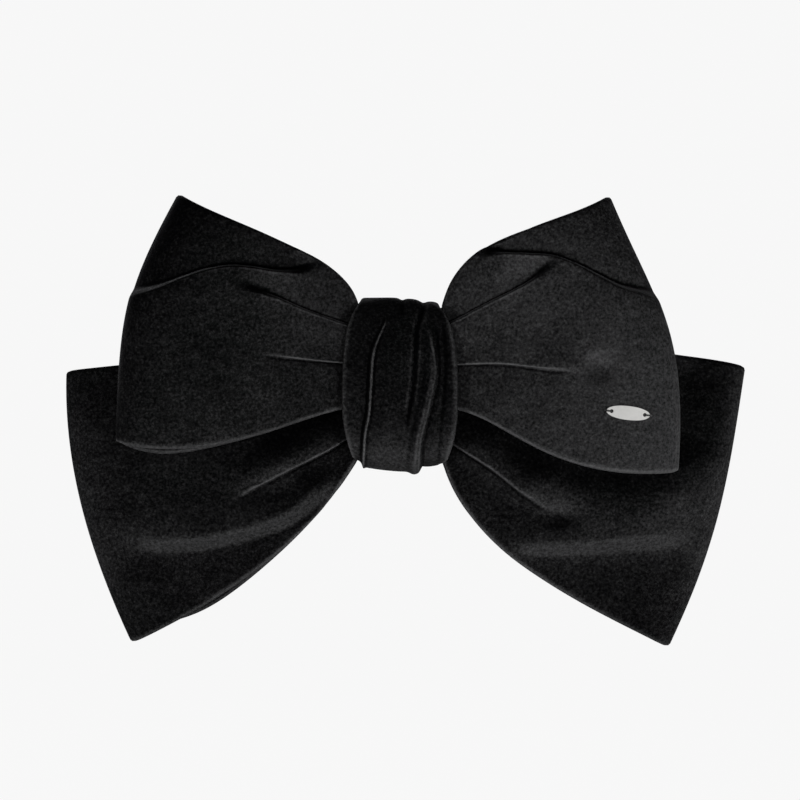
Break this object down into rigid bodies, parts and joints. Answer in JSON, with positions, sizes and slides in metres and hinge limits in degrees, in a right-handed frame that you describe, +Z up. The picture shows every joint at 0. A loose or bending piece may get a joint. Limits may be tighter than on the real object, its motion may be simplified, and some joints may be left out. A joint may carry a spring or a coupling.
{
  "type": "hair bow",
  "caption": "Large black velvet double bow with a folded knot, a small oval metal plate and a French barrette on its back.",
  "frame": {"origin": "middle of the barrette plate's hair-side face", "axes": "+X along the barrette and the bow's width, +Z up as worn, +Y into the hair, so the seen side faces -Y"},
  "size_m": [0.2019, 0.0458, 0.1341],
  "materials": {
    "velvet": "black velvet pile",
    "interlining": "plain white non-woven",
    "thread": "waxed polyester thread",
    "felt": "pressed felt",
    "plate_metal": "satin silver plating",
    "barrette_steel": "nickel plated",
    "spring_steel": "bright spring steel"
  },
  "bodies": {
    "bow": {"upper_bow": "velvet", "upper_bow_interlining": "interlining", "lower_bow": "velvet", "lower_bow_interlining": "interlining", "knot_band": "velvet", "binding_thread": "thread", "knot_seam_stitches": "thread", "oval_plate": "plate_metal", "oval_plate_threads": "thread", "backing_pad": "felt", "barrette_plate": "barrette_steel", "barrette_threads": "thread", "hinge_pin": "barrette_steel", "catch_bracket": "barrette_steel", "catch_rivet": "barrette_steel"},
    "arm": {"clasp_arm": "barrette_steel"},
    "upper_tine": {"tine_upper": "spring_steel"},
    "lower_tine": {"tine_lower": "spring_steel"},
    "strip": {"tension_strip": "spring_steel"}
  },
  "joints": [
    {"name": "clasp_hinge", "type": "hinge", "parent": "bow", "child": "arm", "pos_m": [0.0375, 0.0094, 0], "axis": [0, 0, -1], "range_deg": [0, 75]},
    {"name": "upper_tine_squeeze", "type": "hinge", "parent": "arm", "child": "upper_tine", "pos_m": [-0.026, 0.009, 0.00293], "axis": [0, -1, 0], "range_deg": [0, 4.2], "stiffness_Nm_per_rad": 0.05},
    {"name": "lower_tine_squeeze", "type": "hinge", "parent": "arm", "child": "lower_tine", "pos_m": [-0.026, 0.009, -0.00293], "axis": [0, 1, 0], "range_deg": [0, 4.2], "stiffness_Nm_per_rad": 0.05},
    {"name": "strip_flex", "type": "hinge", "parent": "bow", "child": "strip", "pos_m": [0.0375, 0.0094, 0], "axis": [0, 0, 1], "range_deg": [0, 1.6], "stiffness_Nm_per_rad": 0.1}
  ]
}
